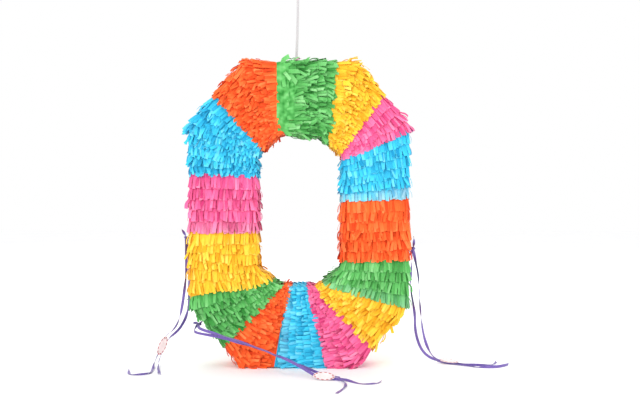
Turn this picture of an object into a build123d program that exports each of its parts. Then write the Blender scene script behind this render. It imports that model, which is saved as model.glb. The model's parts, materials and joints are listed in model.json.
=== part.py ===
"""A fringed party pinata in the shape of the number zero, standing on its flat base.

Millimetres. +Z is up, +X is to the right of the number as it is read, and the front face looks
along -Y. The origin is on the floor, under the middle of the number.

The body is a hollow card box: two zero-shaped panels joined by an outer and an inner wall. Fringed
tissue paper covers it in fifteen colour bands, a flap under the top green band is the fill opening,
a ribbon with a loop hangs it, and three purple ribbons with oval labels hang from its sides.
"""
from build123d import *
from math import radians, sin, cos, tan, sqrt, floor, ceil
import os

# ---------------------------------------------------------------- card box
CARD_W = 386.0          # outside width of the card box
CARD_H = 542.0          # outside height
CARD_D = 80.0           # outside depth, front panel to back panel
CORNER_X = 92.0         # how much each outer corner is cut off, along X
CORNER_Z = 110.0        # and along Z
PANEL_T = 2.0           # card of the front and back panels
WALL_T = 2.0            # card of the outer and inner walls
HOLE_W = 158.0          # width of the centre hole in the card
HOLE_H = 279.0          # height of that hole
HOLE_Z = 281.5          # height of its middle above the floor
HOLE_CORNER_X = 42.0    # corner cut of the hole, along X
HOLE_CORNER_Z = 37.0    # and along Z
TAB_W = 12.0            # glue tabs that join the walls to the panels
TAB_T = 1.5
TAB_END_GAP = 8.0       # each tab stops this far short of its corners

# ---------------------------------------------------------------- tissue fringe
PILE = 7.0              # thickness of the fringe on the card
PRESSED = 3.0           # fringe pressed flat between the base and the floor
HEADER_T = 0.6          # uncut header of the green fringe, on the front
HEADER_STOP = 3.0       # bare card between the header and the flap's fold, which the flap turns over

# ---------------------------------------------------------------- fill flap
HINGE_X = -15.0         # upright scored fold of the flap
FLAP_OPEN_W = 62.0      # opening in the front panel
FLAP_OPEN_H = 76.0
FLAP_OPEN_Z = 480.0     # height of its middle
FLAP_GAP = 0.6          # cut line round the flap
FLAP_BARE = 5.0         # bare card beside the fold, so that the fringe clears it when it opens
FRINGE_GAP = 1.0        # parting between the flap's fringe and the fringe round it

# ---------------------------------------------------------------- hanging ribbon
HANG_W = 4.8            # width of the white ribbon
HANG_FOOT = (-6.0, 0.0)        # where it leaves the top, X and Y
HANG_TOP = (-3.0, 0.0)         # where its loop is tied, X and Y
HANG_TOP_Z = 673.0             # height of the knot under the loop
HANG_FOOT_KNOT_R = 4.2
HANG_INNER_KNOT_R = 7.0
HANG_LOOP_KNOT_R = 4.2
HANG_LOOP_R = 13.0             # middle radius of the loop
BACKING_W = 60.0               # card that spreads the load under the top wall
BACKING_D = 50.0
BACKING_T = 2.0

# ---------------------------------------------------------------- purple ribbons
RIBBON_W = 5.0          # width of the ribbon
KNOT_R = 4.5            # knots inside and outside the wall
KNOT_STAND_OFF = 7.0    # outer knot's middle, out from the face of the fringe
NECK_R = 2.0            # twisted ribbon between a pair of knots
NECK_GAP = 0.5          # hole round it
KNOT_SEAT_GAP = 0.3     # knot to washer
WASHER_R = 11.0
WASHER_T = 1.5
LABEL_L = 37.0          # oval label that joins the two strands
LABEL_W = 14.0
LABEL_T = 3.0
LEFT_TIE_Z = 231.0      # heights of the holes in the side walls
RIGHT_TIE_Z = 212.0
LOWER_TIE_SIDE = 5.75   # place of the lower left hole along the outline, as in BANDS below
LOWER_TIE_Y = -24.0

# The ribbons' routes, from the knot on the wall, through the label, to the cut end on the floor.
ROUTES = {
    "left_ribbon_front": [
        (-207.5, -2.8, 228.5), (-206.5, -4.0, 204.0), (-206.0, -3.5, 173.0), (-209.5, -4.0, 137.0),
        (-214.5, -6.0, 100.0), (-221.0, -8.0, 76.0), (-230.5, -8.5, 62.0), (-243.0, -8.0, 54.5),
        (-250.4, -9.2, 36.9), (-257.5, -9.0, 19.5), (-260.5, -16.0, 10.5), (-260.0, -33.0, 4.8),
        (-258.0, -58.0, 2.7), (-256.0, -79.0, 2.8), (-256.5, -96.5, 2.7), (-266.5, -107.5, 2.7),
        (-281.5, -107.0, 2.8), (-292.0, -96.0, 2.7), (-294.5, -78.0, 2.7), (-299.0, -61.0, 2.7)],
    "left_ribbon_rear": [
        (-207.5, 2.8, 228.5), (-206.5, 9.0, 206.0), (-205.5, 19.0, 178.0), (-205.0, 25.0, 142.0),
        (-205.5, 25.0, 110.0), (-209.0, 17.0, 85.0), (-218.0, 5.0, 66.5), (-227.0, -3.0, 57.0),
        (-236.0, -7.5, 50.5), (-241.5, -8.2, 41.0), (-246.7, -8.0, 29.5), (-251.5, -9.5, 18.0),
        (-254.0, -18.0, 9.0), (-252.5, -35.0, 4.0), (-247.5, -60.0, 2.7), (-242.5, -83.0, 2.8),
        (-236.0, -106.0, 2.7)],
    "right_ribbon_front": [
        (207.5, -2.8, 209.5), (211.5, -3.5, 188.0), (217.0, -4.0, 162.0), (218.5, -3.0, 125.0),
        (221.5, -2.0, 87.0), (226.0, -1.0, 54.0), (234.0, 2.0, 29.5), (243.5, 6.0, 13.5),
        (256.0, 8.0, 4.8), (270.0, -0.9, 2.8), (285.6, -10.3, 2.7), (303.0, -25.0, 2.7),
        (322.0, -37.5, 2.7), (345.0, -43.0, 2.8), (365.0, -32.0, 2.7), (379.0, -14.0, 2.7)],
    "right_ribbon_rear": [
        (207.5, 2.8, 209.5), (206.5, 10.0, 190.0), (205.5, 20.0, 167.0), (205.0, 25.0, 137.0),
        (210.0, 25.0, 109.0), (213.5, 24.0, 85.0), (213.0, 22.0, 64.0), (217.5, 20.0, 40.0),
        (226.5, 18.5, 20.5), (240.5, 17.5, 8.5), (257.4, 13.5, 4.0), (273.0, 4.0, 2.8),
        (288.4, -5.7, 2.7), (305.0, -15.5, 2.7), (323.0, -24.0, 2.8), (340.0, -24.0, 2.7),
        (352.0, -10.0, 2.7), (362.0, 12.0, 2.7)],
    "lower_ribbon_front": [
        (-180.5, -27.0, 78.0), (-180.5, -43.0, 75.0), (-172.5, -59.0, 72.0), (-150.0, -69.0, 67.0),
        (-117.0, -76.0, 58.5), (-80.0, -85.0, 47.0), (-45.0, -93.0, 35.5), (-14.0, -104.0, 24.5),
        (9.0, -124.0, 15.5), (28.0, -140.5, 6.8), (44.0, -146.5, 3.4), (60.0, -148.5, 2.8),
        (74.0, -158.0, 2.7), (80.0, -176.0, 2.7), (78.0, -203.0, 2.8), (71.0, -229.0, 2.7),
        (63.0, -252.0, 2.7)],
    "lower_ribbon_rear": [
        (-182.5, -20.8, 76.5), (-187.5, -34.0, 70.0), (-186.5, -47.0, 66.5), (-178.0, -56.5, 65.0),
        (-163.5, -61.0, 63.0), (-142.0, -64.5, 60.0), (-112.0, -70.5, 53.0), (-80.0, -78.5, 44.0),
        (-45.0, -86.5, 33.0), (-14.0, -97.5, 23.0), (9.0, -116.5, 17.5), (28.0, -133.0, 12.0),
        (44.0, -142.0, 7.0), (60.0, -144.0, 6.3), (76.0, -151.0, 4.2), (89.0, -165.0, 2.8),
        (102.0, -179.0, 2.7), (116.0, -184.0, 2.7), (129.0, -178.0, 2.8), (138.0, -164.0, 2.7)],
}

# The labels: middle, direction along the ribbon, and direction that the face looks in.
LABELS = {
    "left_label": ((-247.9, -8.4, 35.6), (-14.5, -0.6, -34.7), (0.0, -1.0, 0.0)),
    "right_label": ((271.6, 1.7, 2.9), (31.0, -18.8, 0.0), (0.0, 0.0, 1.0)),
    "lower_label": ((44.0, -144.2, 5.2), (34.0, -6.5, -1.0), (0.0, -0.6, 0.8)),
}

# The colour bands, clockwise from the top left. Each ends at a place on the outer outline and one on
# the hole's outline. A place is a side's number and how far along that side it is: side 0 is the top
# edge, 1 the upper right corner, 2 the right edge, and so on round to 7, the upper left corner.
FIRST_EDGE = (0.30, 0.13)
BANDS = [
    ("fringe_top_green", (0.85, 1.40)),
    ("fringe_top_yellow", (1.54, 1.90)),
    ("fringe_shoulder_pink", (2.04, 2.03)),
    ("fringe_right_cyan", (2.41, 2.41)),
    ("fringe_right_orange", (2.75, 2.95)),
    ("fringe_right_green", (3.04, 3.78)),
    ("fringe_corner_yellow", (3.72, 4.03)),
    ("fringe_base_pink", (4.26, 4.20)),
    ("fringe_base_cyan", (4.72, 4.78)),
    ("fringe_base_orange", (5.33, 5.02)),
    ("fringe_left_green", (6.03, 5.45)),
    ("fringe_left_yellow", (6.40, 6.31)),
    ("fringe_left_pink", (6.715, 6.80)),
    ("fringe_left_cyan", (7.44, 7.25)),
    ("fringe_top_orange", (8.30, 8.13)),
]
BASE_SIDE = 4


# ---------------------------------------------------------------- outlines
def octagon(width, height, middle_z, cut_x, cut_z):
    """Corners of a rectangle with cut corners, clockwise from the left end of its top edge."""
    x, z = width / 2, height / 2
    corners = [(-x + cut_x, z), (x - cut_x, z), (x, z - cut_z), (x, -z + cut_z),
               (x - cut_x, -z), (-x + cut_x, -z), (-x, -z + cut_z), (-x, z - cut_z)]
    return [(px, pz + middle_z) for px, pz in corners]


def grown(corners, amounts):
    """The outline with each side moved outwards by its amount, square to itself."""
    count = len(corners)
    sides = []
    for i, amount in enumerate(amounts):
        (x0, z0), (x1, z1) = corners[i], corners[(i + 1) % count]
        length = sqrt((x1 - x0) ** 2 + (z1 - z0) ** 2)
        nx, nz = -(z1 - z0) / length, (x1 - x0) / length
        sides.append((nx, nz, nx * x0 + nz * z0 + amount))
    moved = []
    for i in range(count):
        (a, b, c), (d, e, f) = sides[i - 1], sides[i]
        moved.append(((c * e - b * f) / (a * e - b * d), (a * f - c * d) / (a * e - b * d)))
    return moved


def place(corners, t):
    """The point at place t on an outline: the side's number and the part of that side."""
    count = len(corners)
    (x0, z0), (x1, z1) = corners[floor(t) % count], corners[(floor(t) + 1) % count]
    part = t - floor(t)
    return (x0 + part * (x1 - x0), z0 + part * (z1 - z0))


def outward(corners, t):
    """Unit vector square to the side at place t, out of the outline."""
    count = len(corners)
    (x0, z0), (x1, z1) = corners[floor(t) % count], corners[(floor(t) + 1) % count]
    length = sqrt((x1 - x0) ** 2 + (z1 - z0) ** 2)
    return Vector(-(z1 - z0) / length, 0, (x1 - x0) / length)


def stretch(corners, start, end):
    """The points of an outline from place start to place end, its corners included."""
    between = [place(corners, k) for k in range(floor(start) + 1, ceil(end))]
    return [place(corners, start)] + between + [place(corners, end)]


def prism(points, y_from, y_to):
    """A solid with the given outline in the XZ plane, from one depth to another."""
    face = Face(Wire.make_polygon([(x, y_from, z) for x, z in points]))
    return Solid.extrude(face, Vector(0, y_to - y_from, 0))


def block(x_from, x_to, y_from, y_to, z_from, z_to):
    return prism([(x_from, z_from), (x_to, z_from), (x_to, z_to), (x_from, z_to)], y_from, y_to)


CARD = octagon(CARD_W, CARD_H, PRESSED + CARD_H / 2, CORNER_X, CORNER_Z)
HOLE = octagon(HOLE_W, HOLE_H, HOLE_Z, HOLE_CORNER_X, HOLE_CORNER_Z)
CARD_INSIDE = grown(CARD, [-WALL_T] * 8)
HOLE_WALL = grown(HOLE, [WALL_T] * 8)
FRINGE = grown(CARD, [PRESSED if side == BASE_SIDE else PILE for side in range(8)])
FRINGE_HOLE = grown(HOLE, [-PILE] * 8)
CARD_TOP = PRESSED + CARD_H
FRONT = -CARD_D / 2
BACK = CARD_D / 2
INSIDE = CARD_D / 2 - PANEL_T


# ---------------------------------------------------------------- knots, ties and ribbons
def rod(start, end, radius):
    """A round bar between two points."""
    along = Vector(*end) - Vector(*start)
    return Solid.make_cylinder(radius, along.length, Plane(origin=start, z_dir=along))


def knot_pair(seat, out, wall_depth, outer_reach, inner_r, outer_r):
    """Two knots on one twisted neck. The seat is the wall's outer face, where the neck crosses it."""
    inner_reach = wall_depth + KNOT_SEAT_GAP + sqrt(inner_r ** 2 - (NECK_R + NECK_GAP) ** 2)
    neck = Solid.make_cylinder(NECK_R, inner_reach + outer_reach, Plane(origin=(0, 0, -inner_reach)))
    knots = neck + Pos(0, 0, -inner_reach) * Sphere(inner_r) + Pos(0, 0, outer_reach) * Sphere(outer_r)
    return Plane(origin=seat, z_dir=out).location * knots


def tie_hole(seat, out):
    """The hole for a tie's neck, through the wall, its washer and the fringe."""
    reach = out * (PILE + WALL_T + WASHER_T + BACKING_T)
    return rod(Vector(*seat) - reach, Vector(*seat) + reach, NECK_R + NECK_GAP)


def washer(seat, out):
    """A round card that spreads the pull of a knot inside the wall."""
    top = Vector(*seat) - out * WALL_T
    return rod(top - out * WASHER_T, top, WASHER_R) - tie_hole(seat, out)


def tube(name, points, diameter):
    """Straight runs joined by arcs that are as large as the runs allow."""
    runs = [Vector(*b) - Vector(*a) for a, b in zip(points, points[1:])]
    radii = []
    for first, second in zip(runs, runs[1:]):
        half_turn = radians(first.get_angle(second)) / 2
        radii.append(0.45 * min(first.length, second.length) / tan(half_turn))
    path = FilletPolyline(*points, radius=radii)
    section = Plane(origin=path @ 0, z_dir=path % 0) * Circle(diameter / 2)
    solid = sweep(section, path=path)
    share = solid.volume / (3.14159265 * diameter ** 2 / 4 * path.length)
    print(name, "length", round(path.length, 1), "volume over section times length", round(share, 4))
    print("  runs", [round(run.length) for run in runs], "radii", [round(r) for r in radii])
    return solid


def oval_label(middle, along, face):
    """An oval card with its length along the ribbon and its face looking the given way."""
    across = Vector(*along).cross(Vector(*face))
    normal = across.cross(Vector(*along))
    plane = Plane(origin=middle, x_dir=along, z_dir=normal)
    return extrude(plane * Ellipse(LABEL_L / 2, LABEL_W / 2), LABEL_T / 2, both=True)


# ---------------------------------------------------------------- card box
def panel(y_from, y_to):
    return prism(CARD, y_from, y_to) - prism(HOLE, y_from, y_to)


def outer_wall():
    return prism(CARD, -INSIDE, INSIDE) - prism(CARD_INSIDE, -INSIDE, INSIDE)


def half(solid, side):
    """The part of a solid to the left (-1) or right (+1) of the middle."""
    reach = CARD_W
    return solid & block(min(0, side * reach), max(0, side * reach), -reach, reach, -reach, 2 * reach)


def glue_tabs(face_side):
    """A strip of card against the panel's inner face along each side of each wall."""
    y_from, y_to = sorted((face_side * INSIDE, face_side * (INSIDE - TAB_T)))
    strips = []
    for corners, inward in ((CARD_INSIDE, -1), (HOLE_WALL, 1)):
        for side in range(8):
            (x0, z0), (x1, z1) = corners[side], corners[(side + 1) % 8]
            along = Vector(x1 - x0, 0, z1 - z0).normalized()
            step = outward(corners, side) * inward * TAB_W
            a = Vector(x0, 0, z0) + along * TAB_END_GAP
            b = Vector(x1, 0, z1) - along * TAB_END_GAP
            ends = [a, b, b + step, a + step]
            strips.append(prism([(p.X, p.Z) for p in ends], y_from, y_to))
    return strips


def flap_opening(margin):
    """The fill opening, as a block through the front panel, made smaller or larger by a margin."""
    return block(HINGE_X - margin, HINGE_X + FLAP_OPEN_W + margin, FRONT - 2 * PILE, FRONT + PANEL_T,
                 FLAP_OPEN_Z - FLAP_OPEN_H / 2 - margin, FLAP_OPEN_Z + FLAP_OPEN_H / 2 + margin)


# ---------------------------------------------------------------- fringe
def band_outline(start, end):
    outside = stretch(FRINGE, start[0], end[0])
    inside = stretch(FRINGE_HOLE, start[1], end[1])
    return outside + inside[::-1]


def fringe_band(start, end):
    """One colour band: a sleeve of fringe right round the limb."""
    sleeve = prism(band_outline(start, end), FRONT - PILE, BACK + PILE)
    return sleeve - (prism(CARD, FRONT, BACK) - prism(HOLE, FRONT, BACK))


def left_of_fold(gap, y_from, y_to):
    """The block that ends at a gap left of the fold, where the green fringe has its uncut header."""
    return block(-CARD_W, HINGE_X - gap, y_from, y_to, HOLE_Z, CARD_TOP)


# ---------------------------------------------------------------- all the pieces
def side_tie_seat(place_t, y):
    x, z = place(CARD, place_t)
    return (x, y, z)


def side_place(side, z):
    """The place on an upright side of the card's outline that is at height z."""
    (_, z0), (_, z1) = CARD[side], CARD[(side + 1) % 8]
    return side + (z - z0) / (z1 - z0)


TIES = {
    "left": (side_place(6, LEFT_TIE_Z), 0.0),
    "right": (side_place(2, RIGHT_TIE_Z), 0.0),
    "lower": (LOWER_TIE_SIDE, LOWER_TIE_Y),
}
seats = {side: (side_tie_seat(t, y), outward(CARD, t)) for side, (t, y) in TIES.items()}
hang_seat = (HANG_FOOT[0], HANG_FOOT[1], CARD_TOP)
UP = Vector(0, 0, 1)
holes = [tie_hole(seat, out) for seat, out in seats.values()] + [tie_hole(hang_seat, UP)]


def with_holes(solid):
    for hole in holes:
        solid = solid - hole
    return solid


nodes = {}
nodes["front_panel"] = panel(FRONT, FRONT + PANEL_T) - flap_opening(0)
nodes["back_panel"] = panel(BACK - PANEL_T, BACK)
nodes["outer_wall_left"] = with_holes(half(outer_wall(), -1))
nodes["outer_wall_right"] = with_holes(half(outer_wall(), 1))
nodes["inner_wall"] = prism(HOLE_WALL, -INSIDE, INSIDE) - prism(HOLE, -INSIDE, INSIDE)
nodes["front_glue_tabs"] = glue_tabs(-1)
nodes["back_glue_tabs"] = glue_tabs(1)

backing_top = CARD_TOP - WALL_T
nodes["hang_backing_card"] = block(
    HANG_FOOT[0] - BACKING_W / 2, HANG_FOOT[0] + BACKING_W / 2,
    -BACKING_D / 2, BACKING_D / 2, backing_top - BACKING_T, backing_top) - tie_hole(hang_seat, UP)

flap_front = FRONT - PILE
nodes["fill_flap"] = flap_opening(-FLAP_GAP) & block(-CARD_W, CARD_W, FRONT, BACK, 0, CARD_TOP)
nodes["fill_flap_fringe"] = flap_opening(-FLAP_GAP) & block(
    HINGE_X + FLAP_BARE, CARD_W, flap_front, FRONT, 0, CARD_TOP)

start = FIRST_EDGE
for name, end in BANDS:
    nodes[name] = with_holes(fringe_band(start, end))
    if name == "fringe_top_green":
        front_pile = left_of_fold(0, flap_front, FRONT)
        nodes["green_header"] = (Pos(0, -HEADER_T, 0) * (
            prism(band_outline(start, end), FRONT, FRONT + HEADER_T)
            & left_of_fold(HEADER_STOP, FRONT, FRONT + HEADER_T) & prism(CARD, FRONT, FRONT + HEADER_T))
            - prism(HOLE, FRONT - PILE, FRONT))
        nodes[name] = nodes[name] - front_pile - flap_opening(FRINGE_GAP)
    start = end

for side, (seat, out) in seats.items():
    nodes[side + "_ribbon_tie"] = knot_pair(
        seat, out, WALL_T + WASHER_T, PILE + KNOT_STAND_OFF, KNOT_R, KNOT_R)
    nodes[side + "_tie_washer"] = washer(seat, out)
for name, points in ROUTES.items():
    nodes[name] = tube(name, points, RIBBON_W)
for name, (middle, along, face) in LABELS.items():
    nodes[name] = oval_label(middle, along, face)

hang_reach = PILE + HANG_FOOT_KNOT_R
nodes["hang_tie"] = knot_pair(
    hang_seat, UP, WALL_T + BACKING_T, hang_reach, HANG_INNER_KNOT_R, HANG_FOOT_KNOT_R)
hang_start = Vector(HANG_FOOT[0], HANG_FOOT[1], CARD_TOP + hang_reach)
hang_end = Vector(HANG_TOP[0], HANG_TOP[1], HANG_TOP_Z)
nodes["hang_ribbon"] = rod(hang_start, hang_end, HANG_W / 2)
nodes["hang_loop"] = Pos(*hang_end) * Sphere(HANG_LOOP_KNOT_R) + Pos(
    hang_end.X, hang_end.Y, HANG_TOP_Z + HANG_LOOP_R) * Rot(90, 0, 0) * Torus(HANG_LOOP_R, HANG_W / 2)
print("hang_ribbon length", round((hang_end - hang_start).length, 1))

os.makedirs("parts", exist_ok=True)
for name, solid in nodes.items():
    shape = Compound(children=solid) if isinstance(solid, list) else solid
    shape.label = name
    export_step(shape, os.path.join("parts", name + ".step"))
print(len(nodes), "nodes")
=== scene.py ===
"""Looks of the fringed number pinata: tissue fringe, card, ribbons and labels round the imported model.

Lengths are millimetres in the functions that shape pieces, and metres where Blender gets them.
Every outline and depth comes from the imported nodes. Random draws are seeded.
"""
import json
import math

import bmesh
import bpy
import numpy as np
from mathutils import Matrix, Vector


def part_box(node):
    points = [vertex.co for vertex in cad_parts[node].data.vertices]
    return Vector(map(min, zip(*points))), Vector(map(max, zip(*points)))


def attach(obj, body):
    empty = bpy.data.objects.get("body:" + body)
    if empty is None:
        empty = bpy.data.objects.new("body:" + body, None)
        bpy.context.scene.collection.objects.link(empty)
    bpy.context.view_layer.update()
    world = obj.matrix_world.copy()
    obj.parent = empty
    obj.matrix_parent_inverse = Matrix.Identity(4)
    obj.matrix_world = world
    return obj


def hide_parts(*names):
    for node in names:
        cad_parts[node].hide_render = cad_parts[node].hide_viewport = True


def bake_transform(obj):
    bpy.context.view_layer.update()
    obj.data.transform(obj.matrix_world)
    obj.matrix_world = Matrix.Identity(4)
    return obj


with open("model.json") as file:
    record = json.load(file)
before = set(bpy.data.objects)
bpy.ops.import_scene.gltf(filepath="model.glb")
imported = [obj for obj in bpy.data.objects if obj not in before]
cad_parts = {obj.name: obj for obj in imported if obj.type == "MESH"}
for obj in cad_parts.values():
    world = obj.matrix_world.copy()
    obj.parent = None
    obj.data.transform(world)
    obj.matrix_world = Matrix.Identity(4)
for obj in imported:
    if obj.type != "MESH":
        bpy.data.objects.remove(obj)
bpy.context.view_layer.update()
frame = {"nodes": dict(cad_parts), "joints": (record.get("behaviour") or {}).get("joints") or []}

MM = 0.001


def box_mm(node):
    """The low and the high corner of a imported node's box, in millimetres."""
    return [np.array(corner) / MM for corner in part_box(node)]


# ---- camera, lights and floor
CAMERA_PLACE = (0.0373, -1.650, 0.300)
LENS = 50.78
FLOOR_SIZE = 14000.0    # in millimetres, as every mesh that add_object makes


def add_camera():
    data = bpy.data.cameras.new("camera")
    data.lens = LENS
    data.sensor_width = 36.0
    camera = bpy.data.objects.new("camera", data)
    camera.location = CAMERA_PLACE
    camera.rotation_euler = (math.radians(90), 0, 0)
    bpy.context.collection.objects.link(camera)
    bpy.context.scene.camera = camera
    bpy.context.scene.view_settings.view_transform = "Standard"


def area_light(name, place, target, size, watts, colour=(1, 1, 1)):
    data = bpy.data.lights.new(name, "AREA")
    data.shape = "DISK"
    data.size = size
    data.energy = watts
    data.color = colour
    lamp = bpy.data.objects.new(name, data)
    lamp.location = place
    lamp.rotation_mode = "QUATERNION"
    lamp.rotation_quaternion = (Vector(target) - Vector(place)).to_track_quat("-Z", "Y")
    bpy.context.collection.objects.link(lamp)


def add_lights():
    middle = (0.0, 0.0, 0.28)
    area_light("key", (-0.9, -2.5, 1.5), middle, 1.4, 34.0, (1.0, 0.985, 0.965))
    area_light("fill", (1.6, -2.0, 0.7), middle, 1.8, 18.0, (0.97, 0.985, 1.0))
    area_light("back", (0.6, 2.2, 1.8), middle, 1.6, 22.0)
    world = bpy.data.worlds.new("studio")
    world.use_nodes = True
    background = world.node_tree.nodes["Background"]
    background.inputs["Color"].default_value = (1.0, 1.0, 1.0, 1.0)
    background.inputs["Strength"].default_value = 1.0
    bpy.context.scene.world = world


def add_floor(material):
    half = FLOOR_SIZE / 2
    corners = [(-half, -half, 0), (half, -half, 0), (half, half, 0), (-half, half, 0)]
    floor = add_object("floor", corners, [(0, 1, 2, 3)], [material])


# ---- materials
class Nodes:
    """A short way to add nodes to a material and join them."""

    def __init__(self, name, roughness, specular=0.3):
        self.material = bpy.data.materials.new(name)
        self.material.use_nodes = True
        self.tree = self.material.node_tree
        self.shader = self.tree.nodes["Principled BSDF"]
        self.shader.inputs["Roughness"].default_value = roughness
        self.shader.inputs["Specular IOR Level"].default_value = specular

    def add(self, kind, settings=None, **inputs):
        node = self.tree.nodes.new(kind)
        for key, value in (settings or {}).items():
            setattr(node, key, value)
        for key, value in inputs.items():
            self.feed(node, key.replace("_", " "), value)
        return node

    def feed(self, node, key, value):
        """Joins an output to an input, or sets the input's own value."""
        socket = node.inputs[int(key)] if key.isdigit() else node.inputs[key]
        if isinstance(value, bpy.types.NodeSocket):
            self.tree.links.new(value, socket)
        else:
            socket.default_value = value

    def coordinates(self, scale=(1, 1, 1)):
        place = self.add("ShaderNodeTexCoord")
        mapping = self.add("ShaderNodeMapping", Vector=place.outputs["Object"], Scale=scale)
        return mapping.outputs["Vector"]

    def noise(self, scale, detail=3.0, vector=None, roughness=0.55):
        node = self.add("ShaderNodeTexNoise", Vector=vector or self.coordinates(), Scale=scale,
                        Detail=detail, Roughness=roughness)
        return node.outputs["Fac"]

    def ramp(self, value, low, high, to_low=0.0, to_high=1.0):
        node = self.add("ShaderNodeMapRange", Value=value)
        for key, number in (("From Min", low), ("From Max", high), ("To Min", to_low), ("To Max", to_high)):
            node.inputs[key].default_value = number
        return node.outputs["Result"]

    def mix(self, factor, first, second):
        node = self.add("ShaderNodeMix", {"data_type": "RGBA"})
        self.feed(node, "0", factor)
        self.feed(node, "6", first)
        self.feed(node, "7", second)
        return node.outputs[2]

    def multiply(self, first, second):
        node = self.add("ShaderNodeMath", {"operation": "MULTIPLY"})
        self.feed(node, "0", first)
        self.feed(node, "1", second)
        return node.outputs[0]

    def bump(self, height, distance, strength=0.6, under=None):
        node = self.add("ShaderNodeBump", Height=height, Distance=distance, Strength=strength)
        if under is not None:
            self.feed(node, "Normal", under)
        return node.outputs["Normal"]

    def finish(self, colour, normal=None, roughness=None):
        self.feed(self.shader, "Base Color", colour)
        if normal is not None:
            self.feed(self.shader, "Normal", normal)
        if roughness is not None:
            self.feed(self.shader, "Roughness", roughness)
        return self.material


def srgb(red, green, blue):
    """A display colour, 0 to 255, as the linear colour of a shader."""
    values = [c / 255 for c in (red, green, blue)]
    return tuple(v / 12.92 if v <= 0.04045 else ((v + 0.055) / 1.055) ** 2.4 for v in values) + (1.0,)


TISSUE = {
    "green": (srgb(34, 122, 40), srgb(94, 180, 94), srgb(146, 214, 142)),
    "yellow": (srgb(226, 156, 14), srgb(250, 198, 50), srgb(254, 220, 98)),
    "pink": (srgb(198, 50, 110), srgb(240, 102, 154), srgb(250, 150, 188)),
    "cyan": (srgb(10, 142, 190), srgb(56, 198, 232), srgb(128, 222, 246)),
    "orange": (srgb(218, 60, 10), srgb(250, 102, 40), srgb(252, 138, 78)),
}
# A pale grey that the last rows mix towards, as painted light showing through the thin tissue.
SHINE_THROUGH_COLOUR = srgb(176, 208, 210)
# The light colour of each satin is its painted highlight; the deep one is painted shade along the streak and
# the colour of its threads.
SATIN = {
    "purple": (srgb(70, 48, 128), srgb(112, 88, 170), srgb(186, 170, 222)),
    "white": (srgb(160, 156, 158), srgb(192, 189, 191), srgb(214, 211, 213)),
    "pink": (srgb(214, 150, 184), srgb(236, 184, 210), srgb(248, 214, 230)),
}


def tissue_material(name):
    """Thin crepe tissue: fine crinkles, a tone for each cut tab, darker at its root and on the under layer
    as painted shade, and a pale last layer as painted light showing through it.
    """
    deep, middle, light = TISSUE[name]
    m = Nodes("tissue_" + name, 0.78, 0.22)
    m.shader.inputs["Sheen Weight"].default_value = 0.12
    m.shader.inputs["Sheen Roughness"].default_value = 0.5
    tone = m.add("ShaderNodeAttribute", {"attribute_name": "tone"}).outputs["Fac"]
    pale = m.add("ShaderNodeAttribute", {"attribute_name": "pale"}).outputs["Fac"]
    blotch = m.noise(55.0, 4.0)
    # Tone mixes deep, middle and light: at random, and darker at the roots and on the under layer as painted
    # shade.
    colour = m.mix(m.ramp(tone, 0.0, 0.5), deep, middle)
    colour = m.mix(m.ramp(tone, 0.5, 1.0, 0.0, 0.85), colour, light)
    colour = m.mix(m.ramp(blotch, 0.35, 0.75, 0.0, 0.22), colour, deep)
    fibre = m.noise(900.0, 2.0)
    colour = m.mix(m.ramp(fibre, 0.55, 0.8, 0.0, 0.16), colour, light)
    # The last row mixes towards a pale grey: painted light showing through the thin tissue.
    colour = m.mix(m.multiply(pale, m.ramp(blotch, 0.2, 0.8, 0.55, 0.95)), colour, SHINE_THROUGH_COLOUR)
    crinkle = m.noise(420.0, 4.0, roughness=0.62)
    folds = m.noise(140.0, 2.0)
    normal = m.bump(folds, 0.0012, 0.5)
    normal = m.bump(crinkle, 0.0005, 0.55, normal)
    return m.finish(colour, normal, m.ramp(crinkle, 0.3, 0.7, 0.68, 0.88))


def card_material():
    """Grey-brown board: faint flutes under the liner, fibres and flecks."""
    m = Nodes("card_board", 0.86, 0.15)
    flutes = m.add("ShaderNodeTexWave", {"wave_type": "BANDS", "bands_direction": "X"},
                   Vector=m.coordinates(), Scale=48.0, Distortion=0.6, Detail=1.0).outputs["Fac"]
    fibre = m.noise(240.0, 6.0, m.coordinates((1.0, 1.0, 0.22)), 0.7)
    fleck = m.noise(1100.0, 1.0)
    colour = m.mix(m.ramp(fibre, 0.3, 0.7), srgb(150, 112, 74), srgb(188, 150, 106))
    colour = m.mix(m.ramp(fleck, 0.66, 0.74, 0.0, 0.5), colour, srgb(104, 76, 50))
    colour = m.mix(m.ramp(flutes, 0.0, 1.0, 0.0, 0.14), colour, srgb(126, 94, 60))
    normal = m.bump(flutes, 0.0003, 0.4)
    normal = m.bump(fibre, 0.0003, 0.5, normal)
    return m.finish(colour, normal)


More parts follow.
